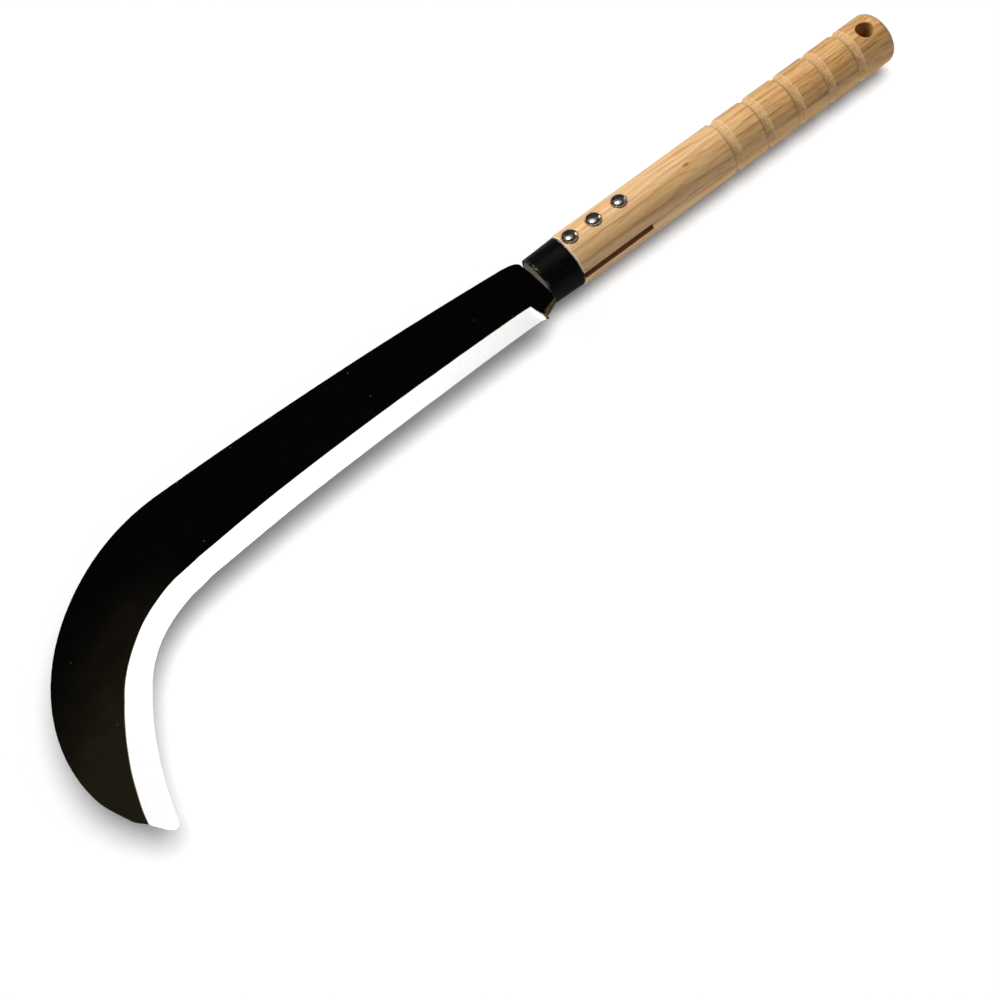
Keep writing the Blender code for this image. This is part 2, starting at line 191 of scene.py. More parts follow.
# ---------------------------------------------------------------- node helpers
class Graph:
    def __init__(self, name):
        self.mat = bpy.data.materials.new(name)
        self.mat.use_nodes = True
        self.tree = self.mat.node_tree
        self.bsdf = self.tree.nodes["Principled BSDF"]
        self.out = self.tree.nodes["Material Output"]

    def add(self, kind, **props):
        node = self.tree.nodes.new(kind)
        for k, v in props.items():
            setattr(node, k, v)
        return node

    def put(self, socket, value):
        if isinstance(value, bpy.types.NodeSocket):
            self.tree.links.new(value, socket)
        elif value is not None:
            if hasattr(socket.default_value, "__len__") and not hasattr(value, "__len__"):
                value = [value] * len(socket.default_value)
            if hasattr(socket.default_value, "__len__") and len(socket.default_value) == 4 \
                    and len(value) == 3:
                value = (*value, 1.0)
            socket.default_value = value

    def math(self, op, a, b=None, c=None, clamp=False):
        node = self.add("ShaderNodeMath", operation=op, use_clamp=clamp)
        for socket, value in zip(node.inputs, (a, b, c)):
            self.put(socket, value)
        return node.outputs[0]

    def vec(self, op, a, b=None, scale=None):
        node = self.add("ShaderNodeVectorMath", operation=op)
        self.put(node.inputs[0], a)
        if b is not None:
            self.put(node.inputs[1], b)
        if scale is not None:
            self.put(node.inputs["Scale"], scale)
        return node.outputs["Value"] if op in ("LENGTH", "DOT_PRODUCT", "DISTANCE") \
            else node.outputs[0]

    def mm(self, scale=(1, 1, 1), offset=(0, 0, 0)):
        """Object coordinates in millimetres, stretched."""
        node = self.add("ShaderNodeTexCoord")
        p = self.vec("MULTIPLY", node.outputs["Object"], (1000.0, 1000.0, 1000.0))
        if offset != (0, 0, 0):
            p = self.vec("ADD", p, offset)
        return self.vec("MULTIPLY", p, scale) if scale != (1, 1, 1) else p

    def uv(self, layer):
        return self.add("ShaderNodeUVMap", uv_map=layer).outputs[0]

    def split(self, v):
        node = self.add("ShaderNodeSeparateXYZ")
        self.put(node.inputs[0], v)
        return node.outputs

    def join(self, x, y, z):
        node = self.add("ShaderNodeCombineXYZ")
        for socket, value in zip(node.inputs, (x, y, z)):
            self.put(socket, value)
        return node.outputs[0]

    def noise(self, vector, scale=1.0, detail=2.0, rough=0.5, distortion=0.0):
        node = self.add("ShaderNodeTexNoise")
        self.put(node.inputs["Vector"], vector)
        node.inputs["Scale"].default_value = scale
        node.inputs["Detail"].default_value = detail
        node.inputs["Roughness"].default_value = rough
        node.inputs["Distortion"].default_value = distortion
        return node.outputs["Fac"]

    def voronoi(self, vector, scale=1.0, feature="F1"):
        node = self.add("ShaderNodeTexVoronoi", feature=feature)
        self.put(node.inputs["Vector"], vector)
        node.inputs["Scale"].default_value = scale
        return node.outputs["Distance"]

    def ramp(self, value, *stops, ease="LINEAR"):
        """stops: (position, colour or grey)."""
        node = self.add("ShaderNodeValToRGB")
        node.color_ramp.interpolation = ease
        elements = node.color_ramp.elements
        while len(elements) < len(stops):
            elements.new(0.5)
        for element, (position, colour) in zip(elements, stops):
            element.position = position
            if not hasattr(colour, "__len__"):
                colour = (colour, colour, colour)
            element.color = (*colour, 1.0)
        self.put(node.inputs[0], value)
        return node.outputs[0]

    def range(self, value, a, b, lo=0.0, hi=1.0, smooth=True):
        node = self.add("ShaderNodeMapRange",
                        interpolation_type="SMOOTHSTEP" if smooth else "LINEAR")
        for k, v in zip(("Value", "From Min", "From Max", "To Min", "To Max"),
                        (value, a, b, lo, hi)):
            self.put(node.inputs[k], v)
        return node.outputs[0]

    def mix(self, fac, a, b, mode="MIX"):
        node = self.add("ShaderNodeMix", data_type="RGBA", blend_type=mode)
        self.put(node.inputs["Factor"], fac)
        self.put(node.inputs[6], a)
        self.put(node.inputs[7], b)
        return node.outputs[2]

    def bump(self, height, distance, strength=1.0, normal=None):
        node = self.add("ShaderNodeBump")
        node.inputs["Strength"].default_value = strength
        node.inputs["Distance"].default_value = distance
        self.put(node.inputs["Height"], height)
        if normal is not None:
            self.put(node.inputs["Normal"], normal)
        return node.outputs[0]

    def set(self, **values):
        for key, value in values.items():
            self.put(self.bsdf.inputs[key.replace("_", " ")], value)
        return self.mat


# ---------------------------------------------------------------- materials
def wood_colour(g, dark=1.0):
    """Ash: annual rings with a porous early band, fibres and pores along X."""
    x, y, z = g.split(g.mm())
    drift = g.noise(g.mm((0.010, 0.035, 0.035)), detail=3.0)
    sway = g.noise(g.mm((0.028, 0.10, 0.10), (40, 3, 9)), detail=3.0)
    # distance from the pith of the tree, which runs beside the handle
    dy = g.math("ADD", y, g.math("MULTIPLY_ADD", x, 0.020, 44.0))
    dz = g.math("ADD", z, g.math("MULTIPLY_ADD", x, -0.034, -33.0))
    radius = g.math("SQRT", g.math("ADD", g.math("MULTIPLY", dy, dy),
                                   g.math("MULTIPLY", dz, dz)))
    radius = g.math("ADD", radius, g.math("MULTIPLY", drift, 16.0))
    radius = g.math("ADD", radius, g.math("MULTIPLY", sway, 2.6))
    ring = g.math("FRACT", g.math("DIVIDE", radius, 3.9))
    early = g.ramp(ring, (0.0, 0.9), (0.07, 1.0), (0.20, 0.40), (0.55, 0.08), (0.90, 0.0),
                   (0.98, 0.35), (1.0, 0.9))
    fibre = g.noise(g.mm((0.075, 2.4, 2.4)), detail=5.0, rough=0.68)
    fine = g.noise(g.mm((0.40, 9.0, 9.0), (5, 0, 0)), detail=2.0, rough=0.6)
    streak = g.noise(g.mm((0.016, 0.42, 0.42), (21, 5, 13)), detail=3.0, rough=0.55)
    butt = g.range(x, 205.0, 40.0)               # darker and more saturated towards the butt
    light = g.mix(butt, tone(0.665, 0.440, 0.212, dark), tone(0.615, 0.362, 0.132, dark))
    deep = g.mix(butt, tone(0.445, 0.207, 0.071, dark), tone(0.315, 0.130, 0.038, dark))
    vary = g.math("MULTIPLY", early, g.range(streak, 0.34, 0.62, 0.10, 1.0))
    amount = g.math("MULTIPLY", vary, g.range(fibre, 0.30, 0.62, 0.45, 1.0))
    colour = g.mix(amount, light, deep)
    colour = g.mix(g.range(streak, 0.47, 0.70, 0.0, 0.70), colour, deep)
    colour = g.mix(g.range(fibre, 0.47, 0.70, 0.0, 0.60), colour, deep)
    pale = g.mix(butt, tone(0.75, 0.56, 0.32, dark), tone(0.74, 0.48, 0.22, dark))
    colour = g.mix(g.range(fine, 0.50, 0.72, 0.0, 0.40), colour, pale)
    amber = g.noise(g.mm((0.012, 0.22, 0.22), (70, 9, 4)), detail=2.0)
    colour = g.mix(g.range(amber, 0.50, 0.68, 0.0, 0.45), colour, tone(0.62, 0.30, 0.085, dark))
    # pores: short dark dashes, mostly in the early band and plainer near the butt
    pores = g.noise(g.mm((0.10, 1.9, 1.9), (3, 8, 1)), detail=2.5, rough=0.6)
    gate = g.math("MULTIPLY", g.range(pores, 0.53, 0.64), g.range(early, 0.0, 0.6, 0.40, 1.0))
    gate = g.math("MULTIPLY", gate, g.range(butt, 0.0, 1.0, 0.30, 0.80))
    colour = g.mix(gate, colour, tone(0.205, 0.100, 0.038, dark))
    # two pin knots
    for centre in KNOTS:
        away = g.vec("LENGTH", g.vec("MULTIPLY", g.vec("SUBTRACT", g.mm(), centre), (0.45, 1.0, 1.0)))
        colour = g.mix(g.range(away, 1.5, 0.3, 0.0, 0.75), colour, tone(0.12, 0.06, 0.03, dark))
    return colour, fibre, gate, early


def tone(r, g, b, dark):
    return (r * dark, g * dark, b * dark)


KNOTS = ((158.5, 6.3, 15.2), (58.0, -12.6, -11.0))


def make_wood():
    g = Graph("ash_wood_varnished")
    colour, fibre, pores, early = wood_colour(g)
    zone = g.split(g.uv("zone"))            # x: depth in a cove 0..1, y: side of it -1..1
    patchy = g.noise(g.mm((0.35, 1.6, 1.6), (2, 2, 2)), detail=4.0, rough=0.7)
    torn = g.noise(g.mm((0.9, 2.2, 2.2), (8, 1, 4)), detail=4.0, rough=0.75)
    inside = g.range(zone[0], 0.02, 0.30)
    colour = g.mix(g.math("MULTIPLY", inside, g.range(torn, 0.38, 0.66, 0.10, 0.75)),
                   colour, (0.70, 0.455, 0.245))
    colour = g.mix(g.math("MULTIPLY", inside, g.range(torn, 0.54, 0.38, 0.0, 0.35)),
                   colour, (0.36, 0.20, 0.085))
    # painted shade: a dark line on the blade side of each cove, where its steep wall faces away from the light,
    # and a pale band on the butt side: torn pale fibres together with painted light on the lit wall
    blade_side_shade = g.math("MULTIPLY", g.range(zone[1], 0.72, 0.93), g.range(zone[1], 1.0, 0.99))
    colour = g.mix(g.math("MULTIPLY", blade_side_shade, 0.72), colour, (0.150, 0.072, 0.026))
    butt_side_fibres_and_light = g.math("MULTIPLY", g.range(zone[1], -0.70, -0.90), g.range(zone[1], -1.0, -0.99))
    colour = g.mix(g.math("MULTIPLY", butt_side_fibres_and_light, g.range(torn, 0.44, 0.60, 0.0, 0.75)), colour,
                   (0.80, 0.60, 0.38))
    # a painted highlight: a pale band along the rounded shoulder by the ferrule; and bare end grain on the front face,
    # where the varnish stops
    x = g.split(g.mm())[0]
    shoulder_highlight = g.math("MULTIPLY", g.range(x, SHOULDER - 0.60, SHOULDER - 0.30), g.range(x, SHOULDER + 1.2, SHOULDER + 0.8))
    colour = g.mix(g.math("MULTIPLY", shoulder_highlight, 0.65), colour, (0.90, 0.77, 0.59))
    end = g.range(x, LENGTH - 0.5, LENGTH - 0.2)
    rays = g.noise(g.mm((1.0, 0.5, 3.5), (0, 6, 2)), detail=3.0, rough=0.6)
    colour = g.mix(g.math("MULTIPLY", end, 0.9), colour,
                   g.mix(g.range(rays, 0.3, 0.7), (0.50, 0.42, 0.33), (0.31, 0.255, 0.19)))
    # the front end face is darker on its edge side, next to the blade
    end_dark_band = g.math("MULTIPLY", end, g.range(g.split(g.mm())[1], 7.5, 12.0, 0.0, 0.93))
    colour = g.mix(end_dark_band, colour, (0.030, 0.029, 0.028))
    # light the wood throws on the table is kept neutral
    bounce = g.add("ShaderNodeLightPath").outputs["Is Diffuse Ray"]
    colour = g.mix(g.math("MULTIPLY", bounce, 0.75), colour, (0.30, 0.29, 0.28))
    gloss = g.range(patchy, 0.30, 0.60, 0.55, 1.0)
    coat = g.math("MULTIPLY", g.math("SUBTRACT", 1.0, g.math("MAXIMUM", inside, end)), gloss)
    rim = g.math("MULTIPLY", g.range(zone[1], -0.60, -0.80), g.range(torn, 0.58, 0.44, 0.35, 1.0))
    coat = g.math("MULTIPLY", coat, g.math("SUBTRACT", 1.0, rim))
    height = g.math("ADD", g.math("MULTIPLY", fibre, 0.5), g.math("MULTIPLY", pores, -0.8))
    height = g.math("ADD", height, g.math("MULTIPLY", g.math("MULTIPLY", inside, torn), 3.5))
    normal = g.bump(height, 0.00012, 0.8)
    coat_normal = g.bump(height, 0.00004, 0.7)
    # less gloss on the low side, which would otherwise mirror the white table
    up = g.range(g.split(g.add("ShaderNodeNewGeometry").outputs["True Normal"])[2], -0.50, 0.30, 0.15, 1.0)
    specular = g.math("MULTIPLY", up, g.range(inside, 0.0, 1.0, 0.45, 0.15))
    return g.set(Base_Color=colour, Roughness=g.range(fibre, 0.2, 0.8, 0.40, 0.60),
                 Normal=normal, Specular_IOR_Level=specular,
                 Coat_Weight=g.math("MULTIPLY", g.math("MULTIPLY", coat, up), 0.60), Coat_Roughness=0.13,
                 Coat_Normal=coat_normal)


def make_sawn():
    g = Graph("ash_wood_sawn")
    colour, fibre, pores, early = wood_colour(g, 0.90)
    saw = g.noise(g.mm((2.2, 0.25, 0.6), (0, 3, 0)), detail=3.0, rough=0.6)
    colour = g.mix(g.range(saw, 0.30, 0.7, 0.35, 0.8), colour, (0.40, 0.175, 0.085))
    return g.set(Base_Color=colour, Roughness=0.85, Specular_IOR_Level=0.2,
                 Normal=g.bump(g.math("ADD", saw, fibre), 0.0002, 0.8))


def make_bore():
    g = Graph("ash_wood_bore")
    colour, fibre, pores, early = wood_colour(g, 0.95)
    chatter = g.noise(g.mm((0.6, 0.6, 2.4)), detail=3.0, rough=0.6)
    colour = g.mix(g.range(chatter, 0.35, 0.7, 0.1, 0.5), colour, (0.42, 0.21, 0.095))
    return g.set(Base_Color=colour, Roughness=0.6, Specular_IOR_Level=0.3,
                 Normal=g.bump(g.math("ADD", chatter, fibre), 0.00015, 0.6))


def make_lacquer():
    g = Graph("blade_lacquer")
    uv = g.split(g.uv("plan"))              # x: along the spine, y: past the bevel line, in cm
    blot = g.noise(g.mm((0.016, 0.016, 0.016), (3, 9, 0)), detail=2.0, rough=0.45)
    mott = g.noise(g.mm((0.07, 0.11, 0.11), (30, 9, 0)), detail=3.0, rough=0.5)
    hammer = g.noise(g.mm((0.045, 0.045, 0.045), (1, 5, 0)), detail=2.0)
    # painted sheen: a faint mottled olive sheen is painted into the black from the hook to the tip
    black = (0.0006, 0.0006, 0.0007)
    olive = (0.0078, 0.0062, 0.0032)
    tip_sheen = g.math("MULTIPLY", g.range(blot, 0.25, 0.75, 0.50, 1.30), g.range(mott, 0.25, 0.75, 0.78, 1.18))
    reach = g.math("ADD", uv[0], g.range(uv[1], -4.5, -0.3, -2.0, 6.0))
    tip_sheen = g.math("MULTIPLY", tip_sheen, g.range(reach, 27.0, 45.0, 0.0, 1.0))
    colour = g.mix(tip_sheen, black, olive)
    # the paint thins to an olive hairline where the grinding cut it
    line = g.range(uv[1], -0.055, 0.0)
    colour = g.mix(g.math("MULTIPLY", line, 0.8), colour, (0.075, 0.066, 0.016))
    specks = g.voronoi(g.mm((0.16, 0.16, 0.16)), 1.0)
    pick = g.noise(g.mm((0.06, 0.06, 0.06), (7, 7, 7)), detail=0.0)
    speck = g.math("MULTIPLY", g.range(specks, 0.055, 0.03), g.range(pick, 0.60, 0.63))
    colour = g.mix(g.math("MULTIPLY", speck, 0.5), colour, (0.25, 0.24, 0.20))
    rough = g.math("ADD", g.range(mott, 0.25, 0.75, 0.15, 0.21), g.math("MULTIPLY", speck, 0.3))
    peel = g.noise(g.mm((0.5, 0.5, 0.5), (2, 1, 6)), detail=2.0)
    normal = g.bump(hammer, 0.0004, 0.5, g.bump(peel, 0.00002, 0.5))
    flank = g.math("ABSOLUTE", g.split(g.add("ShaderNodeNewGeometry").outputs["True Normal"])[2])
    return g.set(Base_Color=colour, Roughness=g.math("ADD", rough, g.range(flank, 0.8, 0.3, 0.0, 0.3)),
                 Specular_IOR_Level=g.range(flank, 0.3, 0.8, 0.03, 0.06), Normal=normal)


def make_thin_lacquer():
    """Paint over the ground flank of the neck: it wears to brown and olive."""
    g = Graph("blade_lacquer_worn")
    mott = g.noise(g.mm((0.5, 0.5, 0.5), (4, 2, 0)), detail=4.0, rough=0.6)
    colour = g.mix(g.range(mott, 0.30, 0.70), (0.009, 0.006, 0.002), (0.085, 0.058, 0.012))
    return g.set(Base_Color=colour, Roughness=0.42, Metallic=0.3, Specular_IOR_Level=0.3,
                 Normal=g.bump(mott, 0.00005, 0.5))


def make_ground():
    g = Graph("blade_ground_steel")
    uv = g.uv("plan")
    u, v, _ = g.split(uv)
    # the wheel leaves fine marks square to the edge
    marks = g.noise(g.join(g.math("MULTIPLY", u, 60.0), g.math("MULTIPLY", v, 1.6), 0.0),
                    detail=3.0, rough=0.65)
    bands = g.noise(g.join(g.math("MULTIPLY", u, 7.0), g.math("MULTIPLY", v, 0.5), 3.0),
                    detail=2.0, rough=0.5)
    colour = g.mix(g.range(marks, 0.35, 0.70), (0.97, 0.965, 0.955), (0.86, 0.86, 0.85))
    colour = g.mix(g.range(bands, 0.45, 0.75, 0.0, 0.35), colour, (0.90, 0.895, 0.88))
    line = g.range(v, 0.035, 0.0)
    colour = g.mix(g.math("MULTIPLY", line, 0.5), colour, (0.52, 0.50, 0.40))
    rough = g.range(marks, 0.3, 0.7, 0.34, 0.48)
    return g.set(Base_Color=colour, Metallic=0.55, Roughness=rough, Specular_IOR_Level=0.6,
                 Anisotropic=0.35, Normal=g.bump(marks, 0.00002, 0.45))


def make_ferrule():
    g = Graph("ferrule_black")
    p = g.mm()
    x, y, z = g.split(p)
    angle = g.math("ARCTAN2", y, z)
    drawn = g.noise(g.join(g.math("MULTIPLY", x, 0.02), g.math("MULTIPLY", angle, 6.0), 0.0),
                    detail=4.0, rough=0.65)
    mott = g.noise(g.mm((0.35, 0.35, 0.35)), detail=4.0, rough=0.65)
    colour = g.mix(g.range(drawn, 0.42, 0.72), (0.0016, 0.0014, 0.0014), (0.0050, 0.0046, 0.0045))
    colour = g.mix(g.range(mott, 0.5, 0.8, 0.0, 0.5), colour, (0.005, 0.004, 0.0035))
    specks = g.voronoi(g.mm((0.45, 0.45, 0.45), (1, 2, 3)), 1.0)
    pick = g.noise(g.mm((0.2, 0.2, 0.2), (9, 1, 4)), detail=0.0)
    speck = g.math("MULTIPLY", g.range(specks, 0.13, 0.06), g.range(pick, 0.60, 0.66))
    colour = g.mix(g.math("MULTIPLY", speck, 0.6), colour, (0.22, 0.20, 0.18))
    # the paint is rubbed off the rims
    front = g.range(x, LENGTH - 0.42, LENGTH - 0.1)
    rear = g.range(x, SHOULDER + 0.95, SHOULDER + 0.7)
    rub = g.math("MULTIPLY", g.math("MAXIMUM", front, g.math("MULTIPLY", rear, 0.6)),
                 g.range(mott, 0.46, 0.62))
    colour = g.mix(g.math("MULTIPLY", rub, 0.45), colour, (0.30, 0.28, 0.26))
    low = g.math("COSINE", angle)                # -1 on the side that faces the table
    return g.set(Base_Color=colour, Roughness=g.range(mott, 0.3, 0.7, 0.34, 0.46),
                 Specular_IOR_Level=g.range(low, -0.30, 0.20, 0.03, 0.10), Metallic=g.math("MULTIPLY", rub, 0.4),
                 Normal=g.bump(g.math("ADD", drawn, g.math("MULTIPLY", mott, 0.4)), 0.00006, 0.5))


def make_rivet():
    g = Graph("rivet_steel")
    mott = g.noise(g.mm((0.55, 0.55, 0.55), (2, 0, 0)), detail=4.0, rough=0.65)
    fine = g.noise(g.mm((2.2, 2.2, 2.2), (2, 0, 0)), detail=3.0, rough=0.6)
    colour = g.mix(g.range(mott, 0.36, 0.62), (0.80, 0.76, 0.71), (0.52, 0.45, 0.39))
    colour = g.mix(g.range(fine, 0.52, 0.75, 0.0, 0.50), colour, (0.22, 0.16, 0.12))
    return g.set(Base_Color=colour, Metallic=1.0, Roughness=g.range(mott, 0.3, 0.7, 0.22, 0.34),
                 Normal=g.bump(g.math("ADD", mott, g.math("MULTIPLY", fine, 0.15)), 0.00008, 0.32))


def make_foil():
    g = Graph("label_foil")
    uv = g.uv("plan")
    u, v, _ = g.split(uv)                   # 0..1 along and across the label
    brushed = g.noise(g.join(g.math("MULTIPLY", u, 2.0), g.math("MULTIPLY", v, 60.0), 0.0),
                      detail=3.0, rough=0.6)
    cloud = g.noise(g.mm((0.06, 0.10, 0.1), (3, 3, 0)), detail=3.0)
    crinkle = g.noise(g.mm((0.30, 0.45, 0.4), (1, 1, 0)), detail=4.0, rough=0.6, distortion=0.8)
    colour = g.mix(g.range(cloud, 0.35, 0.65), (0.30, 0.285, 0.28), (0.62, 0.585, 0.565))
    colour = g.mix(g.range(u, 0.55, 1.0, 0.0, 0.45), colour, (0.76, 0.69, 0.65))
    colour = g.mix(g.range(brushed, 0.5, 0.8, 0.0, 0.25), colour, (0.30, 0.29, 0.29))
    return g.set(Base_Color=colour, Metallic=0.9, Roughness=g.range(cloud, 0.3, 0.7, 0.28, 0.40),
                 Normal=g.bump(crinkle, 0.0004, 0.75))


def make_floor():
    g = Graph("studio_floor")
    # a pale sheet to the camera that throws less light back on the object
    geometry = g.add("ShaderNodeNewGeometry")
    path = g.add("ShaderNodeLightPath")
    camera, glossy = path.outputs["Is Camera Ray"], path.outputs["Is Glossy Ray"]
    pale = g.math("MULTIPLY_ADD", camera, 0.08, g.math("MULTIPLY_ADD", glossy, -0.35, 0.85))
    g.set(Base_Color=g.join(pale, pale, pale), Roughness=0.9, Specular_IOR_Level=0.0,
          Emission_Color=(1.0, 1.0, 1.0), Emission_Strength=g.math("MULTIPLY", camera, 0.14))
    # seen from below the floor is clear, so the underside can be looked at
    clear = g.add("ShaderNodeBsdfTransparent")
    mixer = g.add("ShaderNodeMixShader")
    g.put(mixer.inputs[0], g.math("MULTIPLY", geometry.outputs["Backfacing"],
                                  path.outputs["Is Camera Ray"]))
    g.tree.links.new(g.bsdf.outputs[0], mixer.inputs[1])
    g.tree.links.new(clear.outputs[0], mixer.inputs[2])
    g.tree.links.new(mixer.outputs[0], g.out.inputs["Surface"])
    return g.mat


# ---------------------------------------------------------------- blade
SPINE_START = (LENGTH + 9.0, -21.8)
SPINE_HEADING = math.radians(-6.3)
SPINE_ARCS = ((213.0, 1970.0), (44.5, 84.5), (150.0, 103.0))
SPINE_LENGTH = sum(length for length, _ in SPINE_ARCS)
WIDTH_LAW = ((0.0, 45.0), (80.0, 51.9), (160.0, 57.4), (228.0, 62.5),
             (268.0, 59.8), (308.0, 53.2), (352.0, 45.3))
# width of the ground bevel on the rivet-head face and on the label face
BEVEL_A = ((1.5, 11.5), (64.0, 12.7), (88.0, 13.2), (184.0, 13.5), (220.0, 13.1), (248.0, 13.9),
           (284.0, 13.9), (312.0, 12.9), (352.0, 13.1), (380.0, 12.5), (396.0, 13.1),
           (SPINE_LENGTH, 14.7))
BEVEL_B = ((0.0, 11.0), (8.0, 9.6), (48.0, 10.5), (128.0, 10.8), (168.0, 11.5),
           (208.0, 12.6), (248.0, 14.0), (288.0, 13.9), (340.0, 12.3), (372.0, 13.6),
           (395.0, 17.4), (SPINE_LENGTH, 22.0))
FAN_START = 352.0
FAN_CONTROL = (547.5, 88.0)
FAN_TIP = (551.8, BLADE_HI.y)


def spine_at(s):
    x, y = SPINE_START
    heading = SPINE_HEADING
    for length, radius in SPINE_ARCS:
        step = min(s, length)
        turn = step / radius
        chord = 2 * radius * math.sin(turn / 2)
        x += chord * math.cos(heading + turn / 2)
        y += chord * math.sin(heading + turn / 2)
        heading += turn
        s -= step
        if s <= 0:
            break
    return Vector((x, y)), heading


def edge_at(s):
    if s <= FAN_START:
        p, heading = spine_at(s)
        return p + hermite(WIDTH_LAW, s) * Vector((-math.sin(heading), math.cos(heading)))
    t = (s - FAN_START) / (SPINE_LENGTH - FAN_START)
    a, b, c = edge_at(FAN_START), Vector(FAN_CONTROL), Vector(FAN_TIP)
    return a * (1 - t) ** 2 + b * 2 * t * (1 - t) + c * t**2


def blade_rows():
    """(spine point, edge point, bevel A, bevel B, edge thickness, s, kind) from tang to tip."""
    rows = []
    rear = BLADE_LO.x
    for i in range(26):                                     # tang
        t = i / 25
        rows.append((Vector((lerp(rear, LENGTH + 0.25, t), lerp(-8.0, -10.2, t))),
                     Vector((lerp(rear, LENGTH + 0.25, t), lerp(9.0, 11.2, t))),
                     0.5, 0.5, 2.2, -80 + 66 * t, "tang"))
    f = LENGTH
    spine_side = ((f + 0.45, -16.1), (f + 0.8, -17.7), (f + 2.0, -19.2), (f + 3.9, -20.3),
                  (f + 5.8, -21.0), (f + 7.4, -21.35))
    edge_side = ((f + 0.45, 15.6), (f + 0.9, 17.1), (f + 2.6, 18.3), (f + 5.2, 19.6),
                 (f + 8.0, 21.0), (f + 10.2, 21.9))
    for i in range(16):                                     # neck
        t = i / 15
        facet = lerp(0.6, 2.0, smoothstep(0.25, 1.0, t))
        bare = lerp(0.7, 3.5, smoothstep(0.05, 0.30, t))
        rows.append((along(spine_side, t), along(edge_side, t), facet, bare,
                     lerp(2.4, 2.2, t), -12 + 10 * t, "neck"))
    # heel: the ground edge starts at a small proud corner
    rows.append((Vector((f + 7.55, -21.33)), Vector((f + 10.45, 22.9)), 2.2, 4.6, 2.0, -1.8, "heel"))
    rows.append((Vector((f + 7.75, -21.36)), Vector((f + 10.75, 24.1)), 2.5, 12.3, 1.5, -1.5, "heel"))
    rows.append((Vector((f + 8.05, -21.40)), Vector((f + 11.25, 24.4)), 2.7, 12.3, 1.0, -1.2, "heel"))
    rows.append((Vector((f + 8.50, -21.48)), Vector((f + 12.40, 24.0)), 3.3, 11.8, 0.5, -0.8, "heel"))
    rows.append((Vector((f + 8.95, -21.70)), Vector((f + 13.60, 23.45)), 6.0, 11.4, 0.3, -0.3, "grind"))
    steps = [1.2 + (FAN_START - 1.2) * i / 234 for i in range(235)]
    steps += [FAN_START + (SPINE_LENGTH - FAN_START) * (i / 44) for i in range(1, 45)]
    for s in steps:
        p, heading = spine_at(s)
        q = edge_at(s)
        d = (q - p).normalized()
        if s < 12:
            q = q + Vector((0.0, 0.35 * (1 - s / 12) ** 2))
        p = p + d * 4.2 * max(0.0, (s - SPINE_LENGTH + 18.0) / 18.0) ** 1.8       # rounded back of the tip
        a, b = hermite(BEVEL_A, s), hermite(BEVEL_B, s)
        rows.append((p, q, a, b, 0.28, s, "grind"))
    # soften the corner of the tip
    for back, amount in ((1, 1.7), (2, 0.6), (3, 0.15)):
        p, q, a, b, e, s, kind = rows[-back]
        pull = (p - q).normalized() * amount
        rows[-back] = (p, q + pull, a - amount, b - amount, e, s, kind)
    return rows


